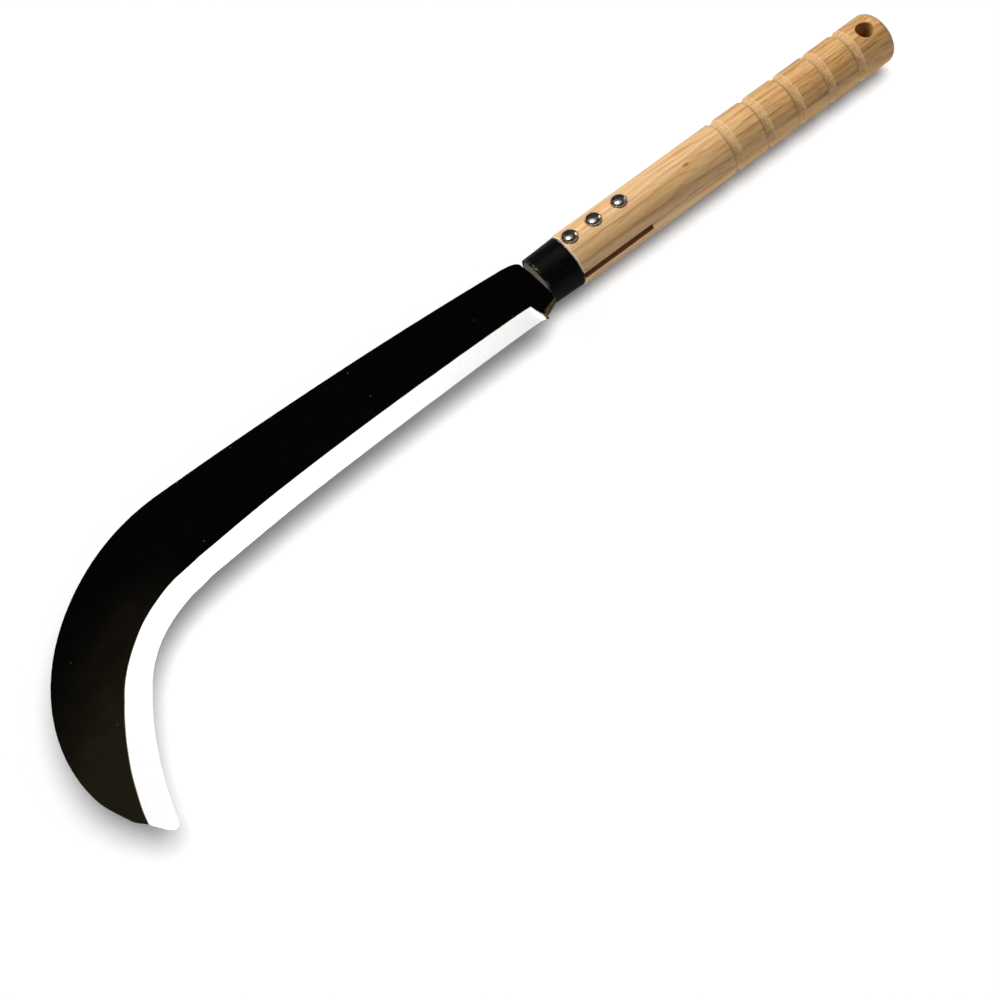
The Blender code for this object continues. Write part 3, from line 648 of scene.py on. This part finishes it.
def build_blade(lacquer, worn, ground):
    rows = blade_rows()
    n_flat, n_bevel = 26, 10
    t_half = BLADE_T / 2
    verts, cols, uvrow = [], [], []
    count = None
    for index, (p, q, bev_a, bev_b, edge, s, kind) in enumerate(rows):
        length = (q - p).length
        d = (q - p) / length
        forward = Vector((d.y, -d.x))
        fan = max(0.0, (s - FAN_START) / (SPINE_LENGTH - FAN_START)) if kind == "grind" else 0.0
        live = 1.0 if kind in ("grind", "heel") else 0.0
        last = index == len(rows) - 1
        ring, uvs = [], []
        for side, bev in ((1, bev_a), (-1, bev_b)):
            line = length - bev + live * 0.10 * wobble(s * 0.13, side * 9.0, 0.0, 2)
            stops = [(0.0, t_half - 0.45), (0.10, t_half - 0.14), (0.42, t_half)]
            stops += [(lerp(0.42, line - 0.16, (i + 1) / n_flat), t_half) for i in range(n_flat)]
            stops += [(line, t_half), (line + 0.16, None)]
            stops += [(lerp(line + 0.16, length, (i + 1) / n_bevel), None) for i in range(n_bevel)]
            points = []
            for k, (dist, z) in enumerate(stops):
                if z is None:
                    z = lerp(t_half, edge / 2, (dist - line) / (length - line))
                    hollow = math.sin(math.pi * min(max((dist - line) / (length - line), 0), 1))
                    z -= live * 0.05 * hollow
                    z += live * 0.012 * wobble(s * 0.35, dist * 0.05, side, 5) * hollow
                elif k > 2 and kind != "tang":
                    fade = smoothstep(0.4, 5.0, dist) * smoothstep(0.0, 4.0, line - dist)
                    z += fade * 0.035 * wobble(p.x * 0.035 + dist * 0.03, dist * 0.05, side * 4.0, 1)
                if last:
                    z -= 0.22 * min(1.0, z / 0.6)
                shift = 0.0
                if dist < 1.0:
                    shift = live * 0.07 * wobble(s * 0.5, 0.0, 1.0, 3)
                if dist > length - 0.5:
                    shift = live * 0.05 * wobble(s * 0.8, 0.0, 2.0, 4)
                u = dist / length
                bulge = 2.45 * u**1.2 * math.sqrt(max(1 - u**8, 0.0)) * fan**9 - (0.22 if last else 0.0)
                xy = p + d * (dist + shift) + forward * bulge
                points.append(((xy.x, xy.y, side * z), (s / 10, (dist - line) / 10)))
            if side < 0:
                points.reverse()
            ring += [pt for pt, _ in points]
            uvs += [c for _, c in points]
        count = len(ring)
        verts += ring
        uvrow.append(uvs)
    faces, mats, corner_uv = [], [], []
    per_side = count // 2
    line_top = 3 + n_flat
    for r in range(len(rows) - 1):
        kind = rows[r + 1][6] if rows[r][6] != "grind" else "grind"
        for c in range(count):
            n = (c + 1) % count
            faces.append((r * count + c, r * count + n, (r + 1) * count + n, (r + 1) * count + c))
            corner_uv.append((uvrow[r][c], uvrow[r][n], uvrow[r + 1][n], uvrow[r + 1][c]))
            top = c < per_side
            k = c if top else count - 2 - c          # column index counted from the spine
            edge_cell = c == per_side - 1
            mat = 0
            if k >= line_top and c != count - 1:
                if kind == "grind":
                    mat = 2
                elif kind == "heel":
                    mat = (1 if k - line_top < 4 else 0) if top else 2
                    if edge_cell:
                        mat = 0
                elif kind == "neck":
                    if top:
                        mat = 1 if r > 31 and k - line_top < lerp(10.5, 4.0, (r - 32) / 9) else 0
                    else:
                        mat = 2 if r > 30 else 0
                    if edge_cell:
                        mat = 0
            mats.append(mat)
    for r, flip in ((0, True), (len(rows) - 1, False)):
        base = r * count
        for k in range(per_side - 1):
            quad = [base + k, base + k + 1, base + count - 2 - k, base + count - 1 - k]
            uvq = [uvrow[r][k], uvrow[r][k + 1], uvrow[r][count - 2 - k], uvrow[r][count - 1 - k]]
            if flip:
                quad.reverse()
                uvq.reverse()
            faces.append(tuple(quad))
            corner_uv.append(tuple(uvq))
            mats.append(2 if (not flip and k >= line_top) else 0)
    blade = piece("blade_forged", verts, faces, [lacquer, worn, ground], mats,
                  {"plan": corner_uv}, angle=None)
    outward(blade)
    tools = []
    for name in ("rivet_front", "rivet_middle", "rivet_rear"):
        lo, hi = node_box(name)
        v, fcs = turned([(0, 5), (2.8, 5), (2.8, -5), (0, -5)], 48, ((lo.x + hi.x) / 2, 0, 0))
        tool = piece("cut_" + name, v, fcs, [lacquer], angle=None)
        outward(tool)
        tools.append(tool)
    carve(blade, tools)
    blade.data.set_sharp_from_angle(angle=math.radians(28))
    return blade


# ---------------------------------------------------------------- handle
GROOVE_X = [127.0 - 24.6 * k for k in range(5)]
GROOVE_HALF = 3.3
GROOVE_DEPTH = 1.3
SCOOP = (GROOVE_HALF**2 + GROOVE_DEPTH**2) / (2 * GROOVE_DEPTH)


def barrel(x):
    return BARREL_BUTT + (BARREL_FRONT - BARREL_BUTT) * x / SHOULDER


def groove(x):
    """Depth of the cove at x, and where across it x lies."""
    for centre in GROOVE_X:
        dx = x - centre
        if abs(dx) < GROOVE_HALF:
            return math.sqrt(SCOOP**2 - dx**2) - (SCOOP - GROOVE_DEPTH), dx / GROOVE_HALF
    return 0.0, 0.0


def handle_stations():
    """(x, radius, lean) down the handle."""
    out = []
    rnd = 6.0
    for i in range(15):
        a = math.pi / 2 * i / 14
        out.append((rnd * (1 - math.cos(a)), barrel(rnd) - rnd * (1 - math.sin(a)), 0.0))
    xs = set()
    x = rnd + 1.0
    while x < SHOULDER - 1.0:
        xs.add(round(x, 3))
        x += 1.15
    for centre in GROOVE_X:
        xs = {v for v in xs if abs(v - centre) > GROOVE_HALF + 0.75}
        for i in range(-13, 14):
            xs.add(round(centre + GROOVE_HALF * i / 13, 3))
        for extra in (0.12, 0.4):
            xs.add(round(centre + GROOVE_HALF + extra, 3))
            xs.add(round(centre - GROOVE_HALF - extra, 3))
    for x in sorted(xs):
        lean = smoothstep(8.0, 22.0, x) * (1 - smoothstep(136.0, 190.0, x))
        out.append((x, barrel(x) - groove(x)[0], lean))
    top = barrel(SHOULDER)
    nose = (FERRULE_HI.z - 1.2 - 0.3)
    for i in range(5):
        a = math.pi / 2 * i / 4
        out.append((SHOULDER - 0.6 * (1 - math.sin(a)), top - 0.6 * (1 - math.cos(a)), 0.0))
    out.append((SHOULDER, lerp(top - 0.6, nose, 0.5), 0.0))
    out.append((SHOULDER, nose, 0.0))
    front = FERRULE_HI.z - 0.7 - 1.5
    for i in range(1, 15):
        out.append((lerp(SHOULDER, LENGTH - 0.35, i / 14), lerp(nose, front, i / 14), 0.0))
    out.append((LENGTH - 0.1, front - 0.1, 0.0))
    out.append((LENGTH, front - 0.35, 0.0))
    return out


def flared_bore(name, x, radius, flare, tilt, mat):
    """Cutter for a cross hole with rounded mouths that follow the barrel's surface."""
    r_local = barrel(x)
    seg = 72
    slope = math.tan(tilt)
    rings = []

    def ring(side, depth, extra):
        pts = []
        r = radius + extra
        for i in range(seg):
            a = 2 * math.pi * i / seg
            px, py = r * math.cos(a), r * math.sin(a)
            z = r_local
            for _ in range(4):                         # the wall leans with the tilt
                y = py + 0.5 + side * slope * z
                z = math.sqrt(max(r_local**2 - y**2, 1.0))
            z = side * (z - depth)
            y = py + 0.5 + slope * z
            pts.append((x + px, y, z))
        return pts

    n = 7
    rings.append(ring(1, -6.0, flare * 1.02))
    for i in range(n + 1):
        a = math.pi / 2 * i / n
        rings.append(ring(1, -0.02 + flare * (1 - math.cos(a)) * 1.0, flare * (1 - math.sin(a))))
    for t in (0.25, 0.5, 0.75):
        top, low = ring(1, flare, 0.0), ring(-1, flare, 0.0)
        rings.append([tuple(lerp(p[k], q[k], t) for k in range(3)) for p, q in zip(top, low)])
    for i in range(n, -1, -1):
        a = math.pi / 2 * i / n
        rings.append(ring(-1, -0.02 + flare * (1 - math.cos(a)) * 1.0, flare * (1 - math.sin(a))))
    rings.append(ring(-1, -6.0, flare * 1.02))
    verts = [p for r in rings for p in r]
    faces = []
    for k in range(len(rings) - 1):
        for i in range(seg):
            j = (i + 1) % seg
            faces.append((k * seg + i, k * seg + j, (k + 1) * seg + j, (k + 1) * seg + i))
    faces.append(tuple(range(seg)))
    faces.append(tuple(range(len(verts) - seg, len(verts)))[::-1])
    tool = piece(name, verts, faces, [mat], angle=None)
    outward(tool)
    return tool


def build_handle(wood, sawn, bore):
    seg = 150
    stations = handle_stations()
    verts, faces, zone = [], [], []
    zrow = []
    for x, r, lean in stations:
        depth, across = groove(x)
        for i in range(seg):
            a = 2 * math.pi * (i + 0.5) / seg
            cy, cz = math.cos(a), math.sin(a)
            smooth = smoothstep(3.0, 12.0, x) * (1 - smoothstep(SHOULDER - 8.0, SHOULDER - 1.0, x))
            rr = r + smooth * 0.07 * wobble(x * 0.035, cy * 1.1, cz * 1.1, 1)
            rr += smooth * 0.02 * wobble(x * 0.12, cy * 7.0, cz * 7.0, 2)
            if depth > 0.0:                       # torn fibres in the cove
                bite = min(1.0, depth / 0.5)
                rr += bite * 0.07 * wobble(x * 0.9, cy * 15.0, cz * 15.0, 3)
                rr += bite * 0.05 * wobble(x * 2.1, cy * 32.0, cz * 32.0, 4)
            ragged = 0.0
            if across > 0.7:
                ragged = 0.10 * wobble(x * 0.05, cy * 9.0, cz * 9.0, 5)
            elif across < -0.6:
                ragged = 0.38 * wobble(x * 0.05, cy * 14.0, cz * 14.0, 5)
                rr += 0.06 * wobble(x * 0.4, cy * 24.0, cz * 24.0, 8)
            y, z = rr * cy, rr * cz
            verts.append((x + ragged + lean * (0.073 * y - 0.036 * z), y, z))
        zrow.append((min(1.0, depth / GROOVE_DEPTH), across))
    n = len(stations)
    for k in range(n - 1):
        for i in range(seg):
            j = (i + 1) % seg
            faces.append((k * seg + i, k * seg + j, (k + 1) * seg + j, (k + 1) * seg + i))
            zone.append((zrow[k], zrow[k], zrow[k + 1], zrow[k + 1]))
    for k, sign in ((0, -1), (n - 1, 1)):        # end faces, ring by ring
        r0 = stations[k][1]
        prev = [k * seg + i for i in range(seg)]
        steps = 8
        for m in range(1, steps):
            f = 1 - m / steps
            cur = []
            for i in range(seg):
                a = 2 * math.pi * (i + 0.5) / seg
                cur.append(len(verts))
                verts.append((stations[k][0] + 0.0, r0 * f * math.cos(a), r0 * f * math.sin(a)))
            for i in range(seg):
                j = (i + 1) % seg
                quad = (prev[i], prev[j], cur[j], cur[i])
                faces.append(quad if sign > 0 else quad[::-1])
                zone.append(((0, 0),) * 4)
            prev = cur
        centre = len(verts)
        verts.append((stations[k][0], 0.0, 0.0))
        for i in range(seg):
            j = (i + 1) % seg
            tri = (prev[i], prev[j], centre)
            faces.append(tri if sign > 0 else tri[::-1])
            zone.append(((0, 0),) * 3)
    handle = piece("handle_turned", verts, faces, [wood, sawn, bore], None, {"zone": zone}, angle=None)
    outward(handle)
    tools = []
    # saw kerf for the tang, its mouth very slightly eased
    section = [(-11.2, -1.7), (-11.2, 1.7), (-11.0, 1.8), (15.2, 1.8), (15.75, 1.95), (16.6, 2.5),
               (22.0, 2.5), (22.0, -2.5), (16.6, -2.5), (15.75, -1.95), (15.2, -1.8), (-11.0, -1.8)]
    kerf_end = 193.8
    m = len(section)
    kv = []
    for x, grow in ((kerf_end, -0.0), (kerf_end + 0.25, 0.0), (LENGTH + 6.0, 0.0)):
        kv += [(x, y, z * (0.86 if x == kerf_end else 1.0)) for y, z in section]
    kf = [(k * m + i, k * m + (i + 1) % m, (k + 1) * m + (i + 1) % m, (k + 1) * m + i)
          for k in range(2) for i in range(m)]
    kf += [tuple(range(m)), tuple(range(2 * m, 3 * m))[::-1]]
    kerf = piece("cut_kerf", kv, kf, [sawn], angle=None)
    outward(kerf)
    tools.append(kerf)
    for name in ("rivet_front", "rivet_middle", "rivet_rear"):
        lo, hi = node_box(name)
        seat, foot = hi.z - 3.1, lo.z + 1.4
        v, fcs = turned([(0, 21), (5.15, 21), (5.05, seat), (2.8, seat), (2.8, foot), (4.15, foot),
                         (4.25, -21), (0, -21)], 64)
        c, s = math.cos(math.pi / 64), math.sin(math.pi / 64)
        mid = (lo.x + hi.x) / 2
        v = [(mid + x * c - y * s, x * s + y * c, z) for x, y, z in v]
        tool = piece("cut_" + name, v, fcs, [bore], angle=None)
        outward(tool)
        tools.append(tool)
    tools.append(flared_bore("cut_hang", 14.2, 5.7, 0.6, math.radians(11.4), bore))
    carve(handle, tools)
    handle.data.set_sharp_from_angle(angle=math.radians(34))
    return handle


# ---------------------------------------------------------------- ferrule
def build_ferrule(mat):
    x0, x1 = FERRULE_LO.x, FERRULE_HI.x
    rear, front, wall, lip = FERRULE_HI.z, FERRULE_HI.z - 0.7, 1.2, 0.28
    outline = []
    for i in range(7):                           # rolled rear rim
        a = math.pi / 2 * i / 6
        outline.append((rear - lip * (1 - math.sin(a)), x0 + lip * (1 - math.cos(a))))
    for i in range(1, 30):
        t = i / 30
        r = lerp(rear, front, t) - 0.05 * math.sin(math.pi * t)
        outline.append((r, lerp(x0 + lip, x1 - lip, t)))
    for i in range(7):
        a = math.pi / 2 * i / 6
        outline.append((front - lip * (1 - math.cos(a)), x1 - lip * (1 - math.sin(a))))
    outline += [(front - wall + 0.15, x1), (front - wall, x1 - 0.15)]
    for i in range(1, 8):
        outline.append((lerp(front - wall, rear - wall, i / 8), lerp(x1 - 0.15, x0 + 0.15, i / 8)))
    outline += [(rear - wall, x0 + 0.15), (rear - wall + 0.15, x0)]
    seg = 160

    def dent(r, h, a, k):
        body = smoothstep(0.3, 2.5, h - x0) * smoothstep(0.3, 2.5, x1 - h)
        proud = math.sin(a) ** 2 * lerp(0.0, 1.25, smoothstep(x0 + 2.0, x1, h))
        return r + 0.035 * body * wobble(h * 0.12, 1.6 * math.cos(a), 1.6 * math.sin(a), 6), h + proud

    verts, faces = turned(outline, seg, axis="X", warp=dent)
    last = len(outline) - 1
    faces += [(last * seg + i, last * seg + (i + 1) % seg, (i + 1) % seg, i) for i in range(seg)]
    ferrule = piece("ferrule_tube", verts, faces, [mat], angle=None)
    outward(ferrule)
    ferrule.data.set_sharp_from_angle(angle=math.radians(40))
    return ferrule


# ---------------------------------------------------------------- rivets
def build_rivet(node, mat, seed):
    lo, hi = node_box(node)
    cx = (lo.x + hi.x) / 2
    head, seat, foot = 4.75, hi.z - 2.8, lo.z + 1.1
    profile = [(0.0, hi.z)]
    for i in range(1, 22):
        a = math.pi / 2 * i / 22
        profile.append((head * math.sin(a), seat + 0.62 + 2.18 * math.cos(a) ** 0.92))
    profile += [(head, seat + 0.55), (head - 0.03, seat + 0.35), (head - 0.14, seat + 0.12),
                (head - 0.32, seat), (2.6, seat), (2.5, seat - 0.1)]
    profile += [(2.5, lerp(seat, foot, i / 6)) for i in range(1, 6)]
    profile += [(2.5, foot + 0.1), (2.6, foot)]
    tail, tube = 3.78, 0.95
    for i in range(13):                          # rolled rim of the hollow tail
        a = math.pi * i / 12
        profile.append((tail - tube + tube * math.cos(a - math.pi * 0.0) * (1 if a < math.pi / 2 else 0.85),
                        foot - 0.06 - 1.04 * math.sin(a) ** 0.8))
    profile += [(1.85, foot + 0.5), (1.75, foot + 1.4), (1.72, foot + 3.2), (1.5, foot + 4.9),
                (0.9, foot + 5.9), (0.0, foot + 6.4)]

    def worn(r, h, a, k):
        c, s = math.cos(a), math.sin(a)
        if h > seat + 0.7:
            h += 0.035 * wobble(r * c * 0.35, r * s * 0.35, 0.0, seed)
            h += 0.012 * wobble(r * c * 1.4, r * s * 1.4, 0.0, seed + 3)
        elif h < foot + 0.01 and r > 1.8:
            curl = min(1.0, (foot + 0.05 - h) / 0.6)
            r += 0.10 * curl * wobble(c * 1.6, s * 1.6, 0.0, seed + 6)
            h += 0.07 * curl * wobble(c * 2.2, s * 2.2, 1.0, seed + 7)
        return r, h

    verts, faces = turned(profile, 72, (cx, 0, 0), warp=worn)
    rivet = piece(node + "_steel", verts, faces, [mat], angle=None)
    outward(rivet)
    rivet.data.set_sharp_from_angle(angle=math.radians(48))
    return rivet


# ---------------------------------------------------------------- label
def build_label(mat):
    centre = (LABEL_LO + LABEL_HI) / 2
    turn = math.radians(2.6)
    length, height = 68.0, 19.0
    r = height / 2
    straight = length / 2 - r
    top = LABEL_HI.z                             # the side stuck to the blade
    nx, ny = 150, 52
    verts, plan = [], []

    def outline_half(x):
        over = abs(x) - straight
        return r if over <= 0 else math.sqrt(max(r * r - over * over, 0.0))

    def sheet(x, y, inset):
        """Height of the foil off the blade."""
        z = 0.16
        ring = min(max(inset, 0.0), 3.0)
        z += 0.05 * math.exp(-((ring - 1.5) / 0.28) ** 2)              # embossed border
        for cx, slant, size in ((17.5, 0.35, 0.10), (19.2, -0.20, 0.06), (-9.0, 0.55, 0.04)):
            d = x - cx - slant * y - 0.8 * wobble(y * 0.2, cx, 0.0, 2)
            z += size * math.exp(-abs(d) / 0.55)
        z += 0.030 * wobble(x * 0.16, y * 0.22, 0.0, 9)
        z += 0.10 * smoothstep(1.2, 0.0, inset) * smoothstep(26.0, 33.0, abs(x)) * max(0.0, wobble(x, y * 0.3, 0.0, 4))
        return max(z, 0.08)

    xs = [math.sin(math.pi / 2 * (2 * i / nx - 1)) for i in range(nx + 1)]
    xs = [0.55 * v + 0.45 * (2 * i / nx - 1) for i, v in enumerate(xs)]
    for layer in (0, 1):
        for i, v in enumerate(xs):
            x = v * (length / 2 - 0.02)
            half = outline_half(x)
            for j in range(ny + 1):
                y = half * (2 * j / ny - 1)
                over = abs(x) - straight
                inset = r - (math.hypot(over, y) if over > 0 else abs(y))
                z = sheet(x, y, inset) if layer == 0 else 0.02
                c, s = math.cos(turn), math.sin(turn)
                verts.append((centre.x + c * x - s * y, centre.y + s * x + c * y, top - z))
                plan.append((0.5 + x / length, 0.5 + y / height))
    faces = []
    w = ny + 1
    size = (nx + 1) * w
    for i in range(nx):
        for j in range(ny):
            a, b, c, d = i * w + j, i * w + j + 1, (i + 1) * w + j + 1, (i + 1) * w + j
            faces.append((a, b, c, d))
            faces.append((size + d, size + c, size + b, size + a))
    loop = [i * w for i in range(nx + 1)] + [nx * w + j for j in range(1, ny + 1)] \
        + [i * w + ny for i in range(nx - 1, -1, -1)] + [j for j in range(ny - 1, 0, -1)]
    for a, b in zip(loop, loop[1:] + loop[:1]):
        faces.append((a, b, size + b, size + a))
    uvs = [[plan[v] for v in f] for f in faces]
    label = piece("label_foil_sheet", verts, faces, [mat], None, {"plan": uvs}, angle=None)
    outward(label)
    label.data.set_sharp_from_angle(angle=math.radians(50))
    return label


# ---------------------------------------------------------------- the object
lacquer, worn, ground = make_lacquer(), make_thin_lacquer(), make_ground()
blade = build_blade(lacquer, worn, ground)
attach(blade, "root")
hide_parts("blade")

wood, sawn, bore = make_wood(), make_sawn(), make_bore()
handle = build_handle(wood, sawn, bore)
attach(handle, "root")
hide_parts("handle")

ferrule = build_ferrule(make_ferrule())
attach(ferrule, "root")
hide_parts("ferrule")

steel = make_rivet()
for seed, node in enumerate(("rivet_front", "rivet_middle", "rivet_rear")):
    rivet = build_rivet(node, steel, seed * 11)
    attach(rivet, "root")
    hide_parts(node)

label = build_label(make_foil())
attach(label, "root")
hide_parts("label")
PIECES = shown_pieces()


# ---------------------------------------------------------------- stage
def build_floor():
    n, size, z = 24, 3.0, -0.0210
    verts = [((-1.2 + size * i / n) * 1000, (-1.4 + size * j / n) * 1000, z * 1000)
             for i in range(n + 1) for j in range(n + 1)]
    faces = [(i * (n + 1) + j, (i + 1) * (n + 1) + j, (i + 1) * (n + 1) + j + 1, i * (n + 1) + j + 1)
             for i in range(n) for j in range(n)]
    floor = piece("studio_floor", verts, faces, [make_floor()], angle=None)
    return floor


def area_light(name, direction, distance, size, power, centre, glossy, receivers):
    data = bpy.data.lights.new(name, "AREA")
    data.shape = "RECTANGLE"
    data.size, data.size_y = size
    data.energy = power
    light = bpy.data.objects.new(name, data)
    d = Vector(direction).normalized()
    light.location = Vector(centre) + d * distance
    light.rotation_mode = "QUATERNION"
    light.rotation_quaternion = d.to_track_quat("Z", "Y")
    light.visible_glossy = glossy
    light.visible_camera = False
    bpy.context.scene.collection.objects.link(light)
    lit = bpy.data.collections.new(name + "_lights")
    for obj in receivers:
        lit.objects.link(obj)
    light.light_linking.receiver_collection = lit
    return light


def sky_light(name, direction, strength, angle, receivers):
    """An even light from a wide disc far away."""
    data = bpy.data.lights.new(name, "SUN")
    data.energy = strength
    data.angle = math.radians(angle)
    light = bpy.data.objects.new(name, data)
    light.rotation_mode = "QUATERNION"
    light.rotation_quaternion = Vector(direction).to_track_quat("Z", "Y")
    bpy.context.scene.collection.objects.link(light)
    light.visible_glossy = False
    lit = bpy.data.collections.new(name + "_lights")
    for obj in receivers:
        lit.objects.link(obj)
    light.light_linking.receiver_collection = lit
    return light


def build_world():
    """White to the camera, an even fill for matt surfaces, and soft boxes for reflections."""
    world = bpy.data.worlds.new("studio")
    world.use_nodes = True
    bpy.context.scene.world = world
    tree = world.node_tree
    nodes, links = tree.nodes, tree.links
    nodes.clear()
    out = nodes.new("ShaderNodeOutputWorld")
    background = nodes.new("ShaderNodeBackground")
    links.new(background.outputs[0], out.inputs[0])
    coord = nodes.new("ShaderNodeTexCoord")
    path = nodes.new("ShaderNodeLightPath")

    def calc(op, a, b, clamp=False):
        node = nodes.new("ShaderNodeMath")
        node.operation, node.use_clamp = op, clamp
        for socket, value in zip(node.inputs, (a, b)):
            if isinstance(value, bpy.types.NodeSocket):
                links.new(value, socket)
            else:
                socket.default_value = value
        return node.outputs[0]

    def box(direction, inner, outer, level):
        """A round soft box: level inside the inner angle, nothing outside the outer."""
        dot = nodes.new("ShaderNodeVectorMath")
        dot.operation = "DOT_PRODUCT"
        links.new(coord.outputs["Generated"], dot.inputs[0])
        dot.inputs[1].default_value = Vector(direction).normalized()
        ramp = nodes.new("ShaderNodeMapRange")
        ramp.interpolation_type = "SMOOTHSTEP"
        links.new(dot.outputs["Value"], ramp.inputs["Value"])
        ramp.inputs["From Min"].default_value = math.cos(math.radians(outer))
        ramp.inputs["From Max"].default_value = math.cos(math.radians(inner))
        ramp.inputs["To Max"].default_value = level
        return ramp.outputs[0]

    total = 0.035
    for direction, inner, outer, level in REFLECTED_BOXES:
        total = calc("ADD", box(direction, inner, outer, level), total)
    seen = calc("MULTIPLY", total, path.outputs["Is Glossy Ray"])
    matt = calc("MULTIPLY", WORLD_FILL, calc("SUBTRACT", 1.0, path.outputs["Is Glossy Ray"]))
    light = calc("ADD", seen, matt)
    camera = path.outputs["Is Camera Ray"]
    light = calc("ADD", calc("MULTIPLY", light, calc("SUBTRACT", 1.0, camera)),
                 calc("MULTIPLY", 1.15, camera))
    links.new(light, background.inputs["Strength"])
    background.inputs["Color"].default_value = (1.0, 1.0, 1.0, 1.0)


# (direction, inner angle, outer angle, level)
REFLECTED_BOXES = (
    ((0.20, -0.17, 0.965), 9.0, 14.0, 6.5),      # overhead box, towards the blade
    ((0.02, -0.12, 0.99), 8.0, 24.0, 0.7),       # its soft surround
    ((-0.88, -0.17, 0.44), 7.0, 10.0, 5.0),      # small box behind the butt
    ((0.75, 0.30, 0.30), 8.0, 16.0, 0.5),
)
WORLD_FILL = 0.13


SPOT = (0.453023, 0.493011, 0.600905)
SHIFT = (-0.194214, -0.274979)


def build_camera():
    """Looks along the direction of the reference view; a shifted lens keeps its framing."""
    rows = ((-0.7529062, 0.6416190, -0.1462449), (0.5622081, 0.5116414, -0.6496731),
            (-0.3420392, -0.5714075, -0.7459907))
    data = bpy.data.cameras.new("camera")
    data.sensor_width = 36.0
    data.sensor_fit = "HORIZONTAL"
    data.lens = 52.0773
    data.shift_x, data.shift_y = SHIFT
    data.clip_start, data.clip_end = 0.05, 20.0
    camera = bpy.data.objects.new("camera", data)
    x, y, z = (Vector(r) for r in rows)
    basis = Matrix((x, -y, -z)).transposed().to_4x4()
    camera.matrix_world = Matrix.Translation(SPOT) @ basis
    bpy.context.scene.collection.objects.link(camera)
    # the lens is shifted at the reference spot only: moved elsewhere, it is centred
    for prop, value in zip(("shift_x", "shift_y"), SHIFT):
        curve = data.driver_add(prop)
        for modifier in list(curve.modifiers):
            curve.modifiers.remove(modifier)
        curve.driver.type = "SUM"
        place = curve.driver.variables.new()
        place.type = "TRANSFORMS"
        place.targets[0].id = camera
        place.targets[0].transform_type = "LOC_X"
        place.targets[0].transform_space = "WORLD_SPACE"
        for offset, share in ((-0.08, 0.0), (-0.03, 1.0), (0.03, 1.0), (0.08, 0.0)):
            key = curve.keyframe_points.insert(SPOT[0] + offset, value * share)
            key.interpolation = "LINEAR"
        curve.extrapolation = "CONSTANT"
    bpy.context.scene.camera = camera


floor = build_floor()
build_world()
MIDDLE = (0.29, 0.02, 0.0)
# the key models the object; the overhead light throws the soft shadow on the table
area_light("key", (0.15, -0.39, 0.90), 2.2, (1.0, 1.0), 70.0, MIDDLE, False, PIECES)
area_light("strip", (-0.05, -0.36, 0.93), 1.5, (0.45, 0.45), 1.1, MIDDLE, True, [blade])
sheen = area_light("sheen", (-0.34, -0.45, 0.83), 1.5, (1.2, 1.2), 6.0, MIDDLE, True, [handle])
sheen.visible_diffuse = False
sky_light("overhead", (-0.325, 0.27, 1.0), 2.75, 41.0, [floor])
# a light from below for the face that lies down; the table does not stop it and none reaches the table
UNDER = (0.12, -0.56, -0.82)
UNDER_METAL = [label] + [obj for obj in PIECES if obj.name.startswith("rivet")]
for name, way, size, power, glossy, lit in (("under", UNDER, 1.0, 40.0, False, PIECES),
                                            ("under_foil", UNDER, 0.5, 1.1, True, UNDER_METAL),
                                            ("low_fill", (0.0, 0.86, -0.54), 0.8, 9.0, False, [handle])):
    lamp = area_light(name, way, 2.0, (size, size), power, MIDDLE, glossy, lit)
    lamp.light_linking.blocker_collection = bpy.data.collections["key_lights"]
    lamp.data.cycles.max_bounces = 0
build_camera()
view = bpy.context.scene.view_settings
view.view_transform = "Standard"
view.look = "None"
view.exposure, view.gamma = 0.0, 1.0

# ---------------------------------------------------------------- update
bpy.context.view_layer.update()
